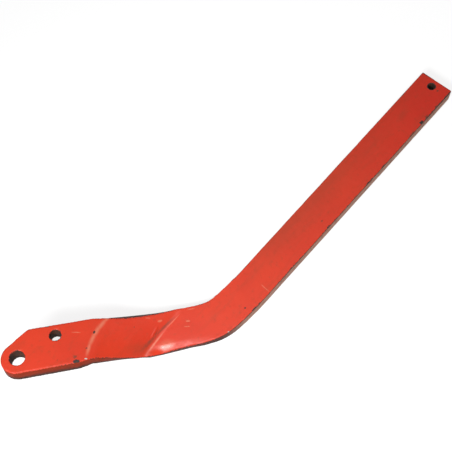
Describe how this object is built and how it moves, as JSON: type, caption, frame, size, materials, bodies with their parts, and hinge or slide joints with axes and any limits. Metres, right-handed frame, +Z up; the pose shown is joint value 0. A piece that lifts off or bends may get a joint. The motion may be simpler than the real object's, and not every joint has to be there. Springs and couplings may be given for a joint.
{
  "type": "tillage shank",
  "caption": "Red painted tillage shank forged from flat steel bar: straight leg, edgewise bend, twisted drop and pivot tab.",
  "frame": {"origin": "centre of the bounding box at its lowest plane, the ground that the leg and neck lie on", "axes": "+X along the straight leg from the bend to the end hole, +Z up through the thickness of the leg"},
  "size_m": [1.0464, 0.2862, 0.1702],
  "materials": {
    "red_paint": "satin"
  },
  "bodies": {
    "root": {"shank": "red_paint"}
  },
  "joints": []
}
